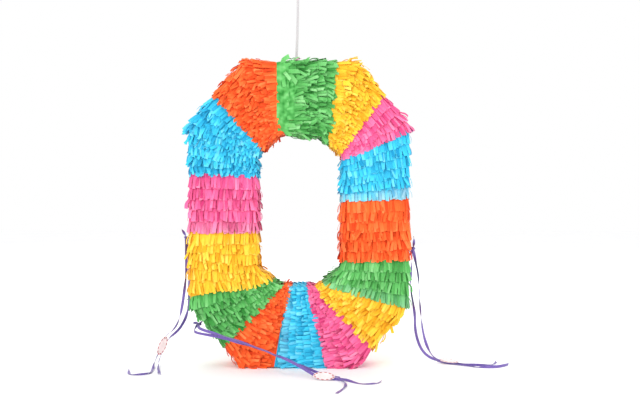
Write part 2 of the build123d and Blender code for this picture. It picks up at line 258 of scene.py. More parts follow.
def ribbon_material(name, deep, middle, light, roughness):
    """Satin ribbon: threads across its width, and along it a soft streak of painted sheen, a painted
    highlight where it is high and painted shade where it is low.
    """
    m = Nodes(name, roughness, 0.5)
    m.shader.inputs["Anisotropic"].default_value = 0.4
    m.shader.inputs["Sheen Weight"].default_value = 0.2
    across = m.add("ShaderNodeAttribute", {"attribute_name": "across"}).outputs["Fac"]
    along = m.add("ShaderNodeAttribute", {"attribute_name": "along"}).outputs["Fac"]
    line = m.add("ShaderNodeCombineXYZ", X=across, Y=along)
    painted_sheen_streak = m.noise(1.0, 3.0, m.add("ShaderNodeMapping", Vector=line.outputs[0],
                                     Scale=(5.0, 60.0, 1.0)).outputs[0])
    thread = m.add("ShaderNodeTexWave", {"wave_type": "BANDS", "bands_direction": "X"},
                   Vector=line.outputs[0], Scale=9.0, Distortion=0.4).outputs["Fac"]
    # Low streak paints shade, high streak a painted highlight: the satin's sheen.
    colour = m.mix(m.ramp(painted_sheen_streak, 0.25, 0.6), deep, middle)
    colour = m.mix(m.ramp(painted_sheen_streak, 0.6, 0.8, 0.0, 0.7), colour, light)
    colour = m.mix(m.ramp(thread, 0.0, 0.3, 0.25, 0.0), colour, deep)
    return m.finish(colour, m.bump(thread, 0.0001, 0.35))


def label_material(name, colour, second):
    m = Nodes(name, 0.42, 0.4)
    m.shader.inputs["Coat Weight"].default_value = 0.2
    grain = m.noise(500.0, 4.0)
    wear = m.noise(90.0, 3.0)
    mixed = m.mix(m.ramp(wear, 0.45, 0.75, 0.0, 0.5), colour, second)
    return m.finish(mixed, m.bump(grain, 0.0001, 0.4))


def floor_material():
    m = Nodes("floor_matt", 0.9, 0.1)
    tone = m.noise(3.0, 3.0)
    return m.finish(m.mix(m.ramp(tone, 0.3, 0.7), srgb(255, 255, 255), srgb(253, 253, 254)))


# ---- meshes
def add_object(name, points, faces, materials, face_material=None, values=None, sharp=35.0):
    """A mesh object from points in millimetres and quads, with named values for its points and edges
    sharper than this many degrees kept sharp."""
    data = bpy.data.meshes.new(name)
    points = np.asarray(points, float).reshape(-1, 3) * MM
    faces = np.asarray(faces, np.int32)
    sides = faces.shape[1]
    data.vertices.add(len(points))
    data.vertices.foreach_set("co", points.astype(np.float32).ravel())
    data.loops.add(faces.size)
    data.loops.foreach_set("vertex_index", faces.ravel())
    data.polygons.add(len(faces))
    data.polygons.foreach_set("loop_start", np.arange(0, faces.size, sides, dtype=np.int32))
    data.update(calc_edges=True)
    data.validate()
    for material in materials:
        data.materials.append(material)
    if face_material is not None:
        data.polygons.foreach_set("material_index", np.asarray(face_material, np.int32))
    for key, value in (values or {}).items():
        attribute = data.attributes.new(key, "FLOAT", "POINT")
        attribute.data.foreach_set("value", np.asarray(value, np.float32).ravel())
    data.shade_smooth()
    data.set_sharp_from_angle(angle=math.radians(sharp))
    piece = bpy.data.objects.new(name, data)
    bpy.context.collection.objects.link(piece)
    return piece


def grid_faces(rows, columns, close_rows=False, close_columns=False):
    """Quads of a grid of points, its rows first."""
    i = np.arange(rows if close_rows else rows - 1)
    j = np.arange(columns if close_columns else columns - 1)
    i, j = (a.ravel() for a in np.meshgrid(i, j, indexing="ij"))
    i_next, j_next = (i + 1) % rows, (j + 1) % columns
    return np.stack([i * columns + j, i * columns + j_next, i_next * columns + j_next,
                     i_next * columns + j], 1)


def sheet_faces(rows, columns):
    """Quads of a thin closed sheet: a top grid, a bottom grid, and the strip round their edge."""
    top = grid_faces(rows, columns)
    count = rows * columns
    edge = [j for j in range(columns)] + [i * columns + columns - 1 for i in range(1, rows)]
    edge += [(rows - 1) * columns + j for j in range(columns - 2, -1, -1)]
    edge += [i * columns for i in range(rows - 2, 0, -1)]
    edge = np.array(edge)
    following = np.roll(edge, -1)
    rim = np.stack([following, edge, edge + count, following + count], 1)
    return np.concatenate([top, top[:, ::-1] + count, rim])


def unit(vectors):
    return vectors / np.linalg.norm(vectors, axis=-1, keepdims=True)


# ---- the card's outlines, from the frame
SIDES = 8               # of the card's outline, and of the hole's
BASE_SIDE = 4           # the side of the outline that stands on the floor
HOLE_REACH = 1.2        # the hole's corners are nearer the middle than this, the outline's further


def outline_corners(node):
    """Outer and inner corners of a flat panel, each clockwise from the left end of the top edge."""
    mesh = frame["nodes"][node].data
    found = {(round(v.co.x / MM, 2), round(v.co.z / MM, 2)) for v in mesh.vertices}
    corners = np.array(sorted(found))
    middle = (corners.min(0) + corners.max(0)) / 2
    turn = np.arctan2(corners[:, 0] - middle[0], corners[:, 1] - middle[1])
    reach = np.abs((corners - middle) / (corners.max(0) - middle)).sum(1)
    rings = []
    for chosen in (reach > HOLE_REACH, reach <= HOLE_REACH):
        ring = corners[chosen][np.argsort(turn[chosen])]
        first = np.argmax(ring[:, 1] - 0.001 * ring[:, 0])
        rings.append(np.roll(ring, -first, axis=0))
    return rings


CARD, HOLE = outline_corners("back_panel")
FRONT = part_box("front_panel")[0].y / MM
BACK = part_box("back_panel")[1].y / MM


def side_normals(corners):
    run = unit(np.roll(corners, -1, axis=0) - corners)
    return np.stack([-run[:, 1], run[:, 0]], 1)


def place(corners, t):
    """Points at places t on an outline: the side's number and the part of that side."""
    t = np.asarray(t, float)
    side = np.floor(t).astype(int)
    part = (t - side)[..., None]
    return corners[side % SIDES] * (1 - part) + corners[(side + 1) % SIDES] * part


def grown(corners, amount):
    """The outline with each side moved outwards, square to itself."""
    normals = side_normals(corners)
    moved = []
    for i in range(SIDES):
        rows = np.stack([normals[i - 1], normals[i]])
        reach = (rows * corners[i]).sum(1) + amount
        moved.append(np.linalg.solve(rows, reach))
    return np.array(moved)


CARD_NORMALS = side_normals(CARD)
HOLE_NORMALS = side_normals(HOLE)


def clear_of_card(points, margin):
    """Moves points that lie inside the card box, or too near it, out by the shortest way."""
    flat = points.reshape(-1, 3).copy()
    xz = flat[:, [0, 2]]
    outer = xz @ CARD_NORMALS.T - (CARD_NORMALS * CARD).sum(1)
    inner = xz @ HOLE_NORMALS.T - (HOLE_NORMALS * HOLE).sum(1)
    outer_side, inner_side = outer.argmax(1), inner.argmax(1)
    need = np.stack([margin - outer.max(1), inner.max(1) + margin, BACK + margin - np.abs(flat[:, 1])], 1)
    inside = (need > 0).all(1)
    way = need.argmin(1)
    for kind, normals, side, sign in ((0, CARD_NORMALS, outer_side, 1), (1, HOLE_NORMALS, inner_side, -1)):
        chosen = inside & (way == kind)
        step = normals[side[chosen]] * need[chosen, kind][:, None] * sign
        flat[chosen, 0] += step[:, 0]
        flat[chosen, 2] += step[:, 1]
    chosen = inside & (way == 2)
    flat[chosen, 1] += np.sign(flat[chosen, 1]) * need[chosen, 2]
    return flat.reshape(points.shape)


# ---- the fringe's rows
# Bands clockwise from the top left: node, tissue, places where it ends on the outer outline and on
# the hole's, which way its tabs point (+1 is clockwise), and how crumpled it is, from 0 to 1.
FIRST_EDGE = (0.30, 0.13)
BANDS = [
    ("fringe_top_green", "green", (0.85, 1.40), 1, 0.62),
    ("fringe_top_yellow", "yellow", (1.54, 1.90), 1, 0.50),
    ("fringe_shoulder_pink", "pink", (2.04, 2.03), 1, 0.18),
    ("fringe_right_cyan", "cyan", (2.41, 2.41), 1, 0.26),
    ("fringe_right_orange", "orange", (2.75, 2.95), 1, 0.20),
    ("fringe_right_green", "green", (3.04, 3.78), 1, 0.24),
    ("fringe_corner_yellow", "yellow", (3.72, 4.03), 1, 0.46),
    ("fringe_base_pink", "pink", (4.26, 4.20), 1, 0.34),
    ("fringe_base_cyan", "cyan", (4.72, 4.78), 1, 0.30),
    ("fringe_base_orange", "orange", (5.33, 5.02), -1, 0.42),
    ("fringe_left_green", "green", (6.03, 5.45), -1, 0.42),
    ("fringe_left_yellow", "yellow", (6.40, 6.31), -1, 0.34),
    ("fringe_left_pink", "pink", (6.715, 6.80), -1, 0.22),
    ("fringe_left_cyan", "cyan", (7.44, 7.25), -1, 0.58),
    ("fringe_top_orange", "orange", (8.30, 8.13), -1, 0.62),
]
ROW_PITCH = 18.0
TAB_LENGTH = 27.0
TAB_PITCH = 5.1
TAB_WIDTH = 4.9
TAB_THICK = 0.22
UNDER_SHORTER = 1.5     # how much shorter the tabs of the under layer are
TAB_STEPS = 6
TAB_ACROSS = 3
TUCK = 3.0              # how far a band's first row starts under the tips of the band before
TIPS_APART = 5.0        # where the tips of two bands face each other, each stops this far short
EDGE_PULL = 9.0         # how near an edge of the limb the tabs begin to splay
LOOK_AHEAD = 0.8        # how far ahead a tab's direction looks along an outline, in tab lengths
ROOT_SHIFT = 0.16       # how far a root strays from its even place, in tab pitches
ROW_SHARE = 0.35        # how far a tab on a panel points square to its row, not along the outlines
EDGE_TILT = 0.85        # how far a tab at an edge leans over it,
EDGE_TURN = 0.5         # and turns to the direction of the tabs beyond it
HIGHEST = 8.5           # about as far as a tab stands up from the panels
WALL_HIGHEST = 4.5      # and from the walls
FLARE = 4.5             # how much further a loose tab may stand
UNDERSIDE_HIGHEST = 1.6  # and from the underside, where the floor presses them flat
UNDERSIDE_FREE = 0.06   # how much of its lift and bends such a tab keeps
ROWS_SHARE = 0.93       # rows in a band, as a share of what its longer edge holds at ROW_PITCH
TIP_SHARE = 0.92        # part of its length by which a tab's tip is ahead of its root
GREEN_GAP = 1.5         # from the start of the top green band to its first row
ORANGE_GAP = 1.0        # from there to the first row of the top orange band, which points away
REACH_SPARE = 1.15      # tabs on the shorter edge of a band are cut less short than its rows crowd,
SHORTEST = 0.5          # and keep at least this part of their length
FRONT_FACE, OUTER_WALL, BACK_FACE, INNER_WALL, UNDERSIDE = range(5)     # where a tab is rooted


def band_start(index):
    """The outer and the inner place where a band starts."""
    return FIRST_EDGE if index == 0 else BANDS[index - 1][2]


def band_lines():
    """For a fine run of lines across the limb: the band number, the outer and the inner place."""
    edges = [FIRST_EDGE] + [band[2] for band in BANDS]
    steps = 60
    number = np.arange(len(BANDS) * steps + 1) / steps
    outer = np.interp(number, np.arange(len(edges)), [e[0] for e in edges])
    inner = np.interp(number, np.arange(len(edges)), [e[1] for e in edges])
    return number, outer, inner


LINE_NUMBER, LINE_OUTER, LINE_INNER = band_lines()
LINE_MIDDLE = (place(CARD, LINE_OUTER) + place(HOLE, LINE_INNER)) / 2
LINE_RUN = np.concatenate([[0], np.cumsum(np.linalg.norm(np.diff(LINE_MIDDLE, axis=0), axis=1))])


def run_length(corners, start, end):
    t = np.linspace(start, end, 80)
    return np.linalg.norm(np.diff(place(corners, t), axis=0), axis=1).sum()


def band_rows(index):
    """Outer and inner places of each row of tabs in a band, the first row first, and how much of a
    tab's length is left at the outer and at the inner end, where the rows crowd together."""
    start = band_start(index)
    name, _, end, way, _ = BANDS[index]
    from_run, to_run = np.interp([index, index + 1], LINE_NUMBER, LINE_RUN)
    run = to_run - from_run
    edge_runs = np.array([run_length(CARD, start[0], end[0]), run_length(HOLE, start[1], end[1])])
    longest = max(edge_runs[0], run)
    count = max(3, round(longest * ROWS_SHARE / ROW_PITCH))
    tips = TAB_LENGTH * TIP_SHARE * (run / longest)
    before, after = BANDS[index - 1][3], BANDS[(index + 1) % len(BANDS)][3]
    if way > after or (way < before and index):
        tips += TIPS_APART
    lowest, highest = (-TUCK, run - tips) if way > 0 else (tips, run + TUCK)
    if name == "fringe_top_green":
        lowest = GREEN_GAP
    if name == "fringe_top_orange":
        highest = run - ORANGE_GAP
    numbers = np.interp(from_run + np.linspace(lowest, highest, count), LINE_RUN, LINE_NUMBER)
    if way < 0:
        numbers = numbers[::-1]
    reach = np.clip(edge_runs / longest * REACH_SPARE, SHORTEST, 1.0)
    return np.interp(numbers, LINE_NUMBER, LINE_OUTER), np.interp(numbers, LINE_NUMBER, LINE_INNER), reach


def ahead(corners, at, way, reach):
    """Unit vector from a place on an outline to the place that is the given reach further on."""
    fine = np.arange(0, SIDES, 0.02)
    points = place(corners, fine)
    lengths = np.linalg.norm(np.roll(points, -1, axis=0) - points, axis=1)
    run = np.concatenate([[0], np.cumsum(lengths)])
    fine = np.append(fine, SIDES)
    here = np.interp(at % SIDES, fine, run)
    there = np.interp((here + way * reach) % run[-1], run, fine)
    step = unit(place(corners, there) - place(corners, at))
    return np.array([step[0], 0, step[1]])


def ring_roots(outer_place, inner_place, way, reach, rng):
    """Roots of one row of tabs right round the limb: point, normal, direction, how near an edge, if
    that is the inner edge, the kind, and the part of a tab's length."""
    o, i = place(CARD, outer_place), place(HOLE, inner_place)
    o_side, i_side = (math.floor(at) % SIDES for at in (outer_place, inner_place))
    line = unit(o - i)
    face_way = np.array([line[1], 0, -line[0]]) * way
    o_way = ahead(CARD, outer_place, way, TAB_LENGTH * LOOK_AHEAD)
    i_way = ahead(HOLE, inner_place, way, TAB_LENGTH * LOOK_AHEAD)
    o_normal, i_normal = (np.array([n[0], 0, n[1]]) for n in (CARD_NORMALS[o_side], -HOLE_NORMALS[i_side]))
    o3, i3 = (np.array([p[0], FRONT, p[1]]) for p in (o, i))
    depth = np.array([0, BACK - FRONT, 0])
    to_front, to_back = np.array([0, -1.0, 0]), np.array([0, 1.0, 0])
    spans = [(i3, o3, to_front, face_way, FRONT_FACE), (o3, o3 + depth, o_normal, o_way, OUTER_WALL),
             (o3 + depth, i3 + depth, to_back, face_way, BACK_FACE),
             (i3 + depth, i3, i_normal, i_way, INNER_WALL)]
    rows = []
    for a, b, normal, direction, kind in spans:
        length = np.linalg.norm(b - a)
        count = max(3, round(length / TAB_PITCH))
        part = (np.arange(count) + 0.5 + rng.uniform(-ROOT_SHIFT, ROOT_SHIFT, count)) / count
        point = a + (b - a) * part[:, None]
        edge = np.clip(1 - np.minimum(part, 1 - part) * length / EDGE_PULL, 0, 1)
        near_start = part < 0.5
        if kind in (FRONT_FACE, BACK_FACE):
            outwards = part if kind == FRONT_FACE else 1 - part
            long = reach[1] + (reach[0] - reach[1]) * outwards
            inner_end = near_start if kind == FRONT_FACE else ~near_start
            side_normal = np.where(inner_end[:, None], i_normal, o_normal)
            side_way = np.where(inner_end[:, None], i_way, o_way)
            share = outwards[:, None]
            along = i_way * (1 - share) + o_way * share
            direction = unit(ROW_SHARE * face_way + (1 - ROW_SHARE) * along)
        else:
            long = np.full(count, reach[0] if kind == OUTER_WALL else reach[1])
            inner_end = np.full(count, kind == INNER_WALL)
            front_end = near_start if kind == OUTER_WALL else ~near_start
            side_normal = np.where(front_end[:, None], to_front, to_back)
            side_way = np.tile(face_way, (count, 1))
        turned = unit(normal + side_normal * (EDGE_TILT * edge)[:, None])
        flow = unit(direction + side_way * (EDGE_TURN * edge)[:, None])
        flow = unit(flow - turned * (flow * turned).sum(1, keepdims=True))
        under = kind == OUTER_WALL and o_side == BASE_SIDE
        kinds = np.full(count, UNDERSIDE if under else kind)
        rows.append((point, turned, flow, edge, inner_end, kinds, long))
    return [np.concatenate(parts) for parts in zip(*rows)]


def drift(rng, count, every):
    """Smooth random numbers, so that neighbouring tabs lean together in small clumps."""
    knots = max(3, int(count / every))
    return np.interp(np.linspace(0, knots - 1, count), np.arange(knots), rng.normal(0, 1, knots))


def grow_tabs(root, normal, flow, edge, inner, kind, long, mess, layer, last, rng, broad=1.0):
    """Points, tones and paleness of a row of cut tabs, bent, kinked, twisted and lifted. The tones are
    darker towards the root and on layer 1 as painted shade, and the paleness is painted light showing
    through the thin tissue. Every spread grows with mess, from a neat row at 0 to a crumpled one at 1. Layer
    1 lies under layer 0."""
    count = len(root)
    shape = (count, 1)

    def spread(calm, messy, middle=0.0):
        return rng.normal(middle, calm + messy * mess, count)

    def chance(calm, messy=0.0):
        return rng.random(count) < calm + messy * mess

    across = np.cross(flow, normal)
    length = long * TAB_LENGTH * (1 + spread(0.02, 0.06)) - UNDER_SHORTER * layer
    width = broad * TAB_WIDTH * (1 + spread(0.10, 0.0))
    width *= np.where(chance(0.12), 1.5, 1.0)
    on_wall = (kind == OUTER_WALL) | (kind == INNER_WALL)
    loose = chance(0.04, 0.14)
    splay = edge * (0.30 + 0.25 * mess)
    yaw = drift(rng, count, 4) * (0.03 + 0.34 * mess) + spread(0.03, 0.26)
    lift = 0.04 + 0.10 * mess + np.abs(drift(rng, count, 5)) * (0.03 + 0.13 * mess)
    lift += np.abs(spread(0.02, 0.16))
    lift *= np.where(on_wall, 0.6, 1.0)
    lift += splay * np.where(inner, 0.4, 0.18) * rng.uniform(0.4, 1.2, count)
    lift += np.where(loose, 0.35, 0.0)
    curl = spread(0.08, 0.5, 0.06) - 0.15 * mess
    free = np.where(kind == UNDERSIDE, UNDERSIDE_FREE, 1.0)
    highest = np.where(on_wall, WALL_HIGHEST, HIGHEST - (HIGHEST - WALL_HIGHEST) * edge) + FLARE * loose
    highest = np.where(kind == UNDERSIDE, UNDERSIDE_HIGHEST, highest)
    lift, curl = lift * free, curl * free
    first_kink = rng.integers(1, TAB_STEPS, count)
    second_kink = rng.integers(2, TAB_STEPS, count)
    kink = free * spread(0.06, 0.8) * chance(0.2, 0.6)
    counter = -kink * rng.uniform(0.4, 1.3, count) * chance(0.7)
    side_kink = spread(0.03, 0.45) * chance(0.15, 0.5)
    roll = spread(0.03, 0.20) * free
    twist = spread(0.05, 0.65) * free
    cup = spread(0.10, 0.0, 0.05)
    slant = spread(0.05, 0.15)
    point = root + normal * (0.5 + 0.35 * (1 - layer)) + rng.normal(0, 0.5, shape) * across
    rows = []
    step = (length / TAB_STEPS)[:, None]
    ramp = 0.075 + 0.045 * (1 - layer)
    for j in range(TAB_STEPS + 1):
        share = j / TAB_STEPS
        rise = lift + curl * share + kink * (j >= first_kink) + counter * (j >= second_kink)
        turn = yaw + side_kink * (j >= first_kink)
        heading = flow * np.cos(turn)[:, None] + across * np.sin(turn)[:, None]
        sideways = across * np.cos(turn)[:, None] - flow * np.sin(turn)[:, None]
        forward = heading * np.cos(rise)[:, None] + normal * np.sin(rise)[:, None]
        upward = normal * np.cos(rise)[:, None] - heading * np.sin(rise)[:, None]
        if j:
            point = point + forward * step
        height = ((point - root) * normal).sum(1)
        floor_height = np.minimum(0.45 + ramp * TAB_LENGTH * long * share, highest)
        point = point + normal * np.clip(floor_height - height, 0, None)[:, None]
        point = point - normal * (0.85 * np.clip(height - highest, 0, None))[:, None]
        angle = (roll + twist * share)[:, None] * min(1.0, 2.0 * share)
        wide = sideways * np.cos(angle) + upward * np.sin(angle)
        thick = upward * np.cos(angle) - sideways * np.sin(angle)
        half = width[:, None] / 2 * (1 - 0.06 * share)
        for side in (-1, 0, 1):
            middle_lift = (cup * width * share * (1 - abs(side)))[:, None]
            end_cut = (slant * width * side)[:, None] * (j == TAB_STEPS)
            rows.append((point + wide * half * side + thick * middle_lift + forward * end_cut, thick))
    top = np.stack([r[0] for r in rows], 1)
    thick = np.stack([r[1] for r in rows], 1) * TAB_THICK
    points = np.concatenate([top, top - thick], 1)
    share = np.repeat(np.arange(TAB_STEPS + 1) / TAB_STEPS, TAB_ACROSS)
    share = np.concatenate([share, share])
    # Tone differs at random from tab to tab; it is lower towards the root and on the under layer, as painted
    # shade.
    tone = 0.40 + 0.18 * rng.normal(0, 1, shape) - 0.24 * layer + 0.22 * share[None, :]
    # Paleness of the last row, more towards the tip: painted light showing through the thin tissue.
    pale = np.zeros((count, len(share))) + last * rng.uniform(0.3, 1.0, shape) * (0.35 + 0.65 * share)
    return points, np.clip(tone, 0, 1), np.clip(pale, 0, 1)


CARD_CLEAR = (0.55, 0.35)       # how far a tab's outer and inner face keep from the card,
FLOOR_CLEAR = (0.25, 0.45)      # and from the floor


def settle(points):
    """Keeps the tabs out of the card and above the floor, their outer face beyond their inner one."""
    faces = np.split(points, 2, axis=1)
    for k in (0, 1):
        faces[k] = clear_of_card(faces[k], CARD_CLEAR[k])
        faces[k][..., 2] = np.maximum(faces[k][..., 2], FLOOR_CLEAR[k])
    return np.concatenate(faces, 1)


TAB_FACES = sheet_faces(TAB_STEPS + 1, TAB_ACROSS)


def tab_piece(name, tabs, material):
    points = np.concatenate([t[0] for t in tabs])
    count, each = points.shape[:2]
    faces = (TAB_FACES[None] + (np.arange(count) * each)[:, None, None]).reshape(-1, 4)
    values = {"tone": np.concatenate([t[1] for t in tabs]), "pale": np.concatenate([t[2] for t in tabs])}
    return add_object(name, settle(points), faces, [material], values=values)


# ---- the fill flap's place
flap_low, flap_high = box_mm("fill_flap")
HINGE = next(j for j in frame["joints"] if j["name"] == "fill_flap_hinge")
HEADER_END = 3.5         # how far before the flap's fold the smooth header ends
FOLD_CLEAR = 6.0         # how far past the fold the flap's first tabs are rooted
# How pale the last row of a band is, from 0 to 1: painted light showing through the thin tissue.
SHINE_THROUGH_BANDS = {"fringe_right_cyan": 0.9, "fringe_base_cyan": 0.35, "fringe_right_green": 0.25,
              "fringe_left_pink": 0.3}


def level_with_flap(roots):
    """Which roots are on the front, between the heights of the flap's two ends."""
    _, y, z = roots.T
    return (y < FRONT + 1) & (z > flap_low[2]) & (z < flap_high[2])


def on_flap(roots):
    """Which roots stand on the flap."""
    return level_with_flap(roots) & (roots[:, 0] > flap_low[0]) & (roots[:, 0] < flap_high[0])


def clear_of_fold(roots):
    """Moves the roots on or beside the flap's fold onto the flap, clear of the fold."""
    beside = level_with_flap(roots) & (roots[:, 0] > flap_low[0] - HEADER_END)
    roots[beside, 0] = np.maximum(roots[beside, 0], flap_low[0] + FOLD_CLEAR)


def in_header(roots):
    """Which roots are on the smooth header on the front, which has no tabs."""
    return (roots[:, 1] < FRONT + 1) & (roots[:, 0] < flap_low[0] - HEADER_END)


def band_tabs(index):
    """All the tabs of a band: those on the shell, and those on the flap."""
    name, _, _, way, mess = BANDS[index]
    with_flap = name == "fringe_top_green"
    rng = np.random.default_rng(100 + index)
    shell, flap = [], []
    outers, inners, reach = band_rows(index)
    for row, (outer, inner) in enumerate(zip(outers, inners)):
        calm = 0.4 if row == 0 else 1.0
        last = SHINE_THROUGH_BANDS.get(name, 0.0) * (row == len(outers) - 1)
        for layer in (1, 0):
            found = ring_roots(outer, inner, way, reach, rng)
            if with_flap:
                clear_of_fold(found[0])
            row_mess = float(np.clip(mess + 0.12 * rng.normal(), 0.1, 1.0)) * calm
            made = grow_tabs(*found, row_mess, layer, last, rng)
            moving = on_flap(found[0]) & with_flap
            bare = in_header(found[0]) & with_flap
            shell.append([part[~moving & ~bare] for part in made])
            if moving.any():
                flap.append([part[moving] for part in made])
    if with_flap:
        shell += header_tabs(rng)
    return shell, flap


def header_tabs(rng):
    """Broad loose tabs that lie across the ends of the smooth header, clear of the flap. Each spot is
    a place on the front, as x and z, and the turn of its tab."""
    spots = [(-26, 538, 0.4), (-22, 530, -0.5), (-30, 541, 0.9), (-18, 526, 0.3), (-27, 528, -0.9),
             (-20, 541, 0.1), (-25, 434, 0.2), (-29, 428, -0.4), (-21, 430, 0.5), (-29, 520, -1.5)]
    x, z, turn = np.array(spots, float).T
    count = len(spots)
    root = np.stack([x, np.full(count, FRONT), z], 1)
    normal = np.tile([0.0, -1.0, 0.0], (count, 1))
    flow = np.stack([np.cos(turn), np.zeros(count), np.sin(turn)], 1)
    flat = np.zeros(count)
    return [grow_tabs(root, normal, flow, flat, flat > 1, flat, flat + 0.8, 0.75, 0, 0.0, rng, broad=1.5)]


# ---- the tissue glued under the tabs
SKIN_LOW = 0.30
SKIN_HIGH = 0.62
# The sleeve's low tone is painted shade under the tabs.
SKIN_SHADE_TONE = 0.22
WINDOW_GAP = 0.4        # round the flap, in the sleeve under the green tabs,
FOLD_GAP = 3.0          # and this much more beside the fold, where the flap swings


def skin_rings(index, height):
    """Rings of points round the limb over a band, at a height above the card."""
    start, end = band_start(index), BANDS[index][2]
    share = np.linspace(0, 1, 9)
    for a, b in zip(start, end):
        corners = np.arange(math.ceil(a), math.floor(b) + 1)
        share = np.concatenate([share, (corners - a) / (b - a)])
    share = np.unique(np.round(share, 5))
    share = share[np.concatenate([[True], np.diff(share) > 0.01])]
    outer = place(grown(CARD, height), start[0] + (end[0] - start[0]) * share)
    inner = place(grown(HOLE, -height), start[1] + (end[1] - start[1]) * share)
    across = np.linspace(0, 1, 7)
    face = inner[:, None] * (1 - across[None, :, None]) + outer[:, None] * across[None, :, None]
    front = np.stack([face[..., 0], np.full(face.shape[:2], FRONT - height), face[..., 1]], -1)
    back = front[:, ::-1].copy()
    back[..., 1] = BACK + height
    return np.concatenate([front, back], 1)


def skin_piece(index, material):
    """The uncut tissue of a band, as a thin closed sleeve round the limb."""
    high, low = skin_rings(index, SKIN_HIGH), skin_rings(index, SKIN_LOW)
    rows, columns = high.shape[:2]
    count = rows * columns
    top = grid_faces(rows, columns, close_columns=True)
    caps = []
    for j in range(columns):
        following = (j + 1) % columns
        caps.append((following, j, j + count, following + count))
        j_end, next_end = count - columns + j, count - columns + following
        caps.append((j_end, next_end, next_end + count, j_end + count))
    faces = np.concatenate([top, top[:, ::-1] + count, np.array(caps)])
    points = np.concatenate([high.reshape(-1, 3), low.reshape(-1, 3)])
    values = {"tone": np.full(len(points), SKIN_SHADE_TONE), "pale": np.zeros(len(points))}
    return add_object(BANDS[index][0] + "_strips", points, faces, [material], values=values)


def cut_window(piece):
    """Cuts the flap's opening out of the green sleeve, wider on the side of the fold."""
    low = flap_low - [WINDOW_GAP + FOLD_GAP, WINDOW_GAP, WINDOW_GAP]
    high = flap_high + WINDOW_GAP
    corners = [(x, y, z) for x in (low[0], high[0]) for y in (low[1] - 10, low[1] + 20)
               for z in (low[2], high[2])]
    faces = [(0, 1, 3, 2), (4, 6, 7, 5), (0, 4, 5, 1), (2, 3, 7, 6), (0, 2, 6, 4), (1, 5, 7, 3)]
    cutter = add_object("window", corners, faces, [])
    modifier = piece.modifiers.new("cut", "BOOLEAN")
    modifier.operation = "DIFFERENCE"
    modifier.solver = "EXACT"
    modifier.object = cutter
    evaluated = piece.evaluated_get(bpy.context.evaluated_depsgraph_get())
    result = bpy.data.meshes.new_from_object(evaluated)
    piece.modifiers.clear()
    piece.data = result
    bpy.data.objects.remove(cutter)


WAVES = 14              # laid over one another to crinkle a sheet


def crinkled_sheet(name, x_range, z_range, y, material, seed, height, tone, spacing=2.0):
    """An uncut piece of tissue on the front, lightly crinkled, its tone lighter on the raised crinkles and
    darker in the sunk ones as painted light and shade.
    """
    rng = np.random.default_rng(seed)
    columns = max(4, int((x_range[1] - x_range[0]) / spacing))
    rows = max(4, int((z_range[1] - z_range[0]) / spacing))
    x = np.linspace(*x_range, columns)
    z = np.linspace(*z_range, rows)
    x, z = np.meshgrid(x, z)
    wave = np.zeros_like(x)
    for _ in range(WAVES):
        direction = rng.uniform(0, math.pi)
        scale = rng.uniform(0.12, 0.9)
        phase = rng.uniform(0, 2 * math.pi)
        wave += np.sin((x * math.cos(direction) + z * math.sin(direction)) * scale + phase) / WAVES
    lift = height * (0.5 + wave * 1.6)
    top = np.stack([x, y - np.clip(lift, 0.05, None), z], -1).reshape(-1, 3)
    bottom = top + [0, 0.22, 0]
    points = np.concatenate([top, bottom])
    # The tone follows the crinkles' height: painted light and shade.
    relief_shaded_tones = np.clip(tone + 0.9 * np.tile(wave.ravel(), 2), 0, 1)
    values = {"tone": relief_shaded_tones, "pale": np.zeros(len(points))}
    return add_object(name, points, sheet_faces(rows, columns), [material], values=values)


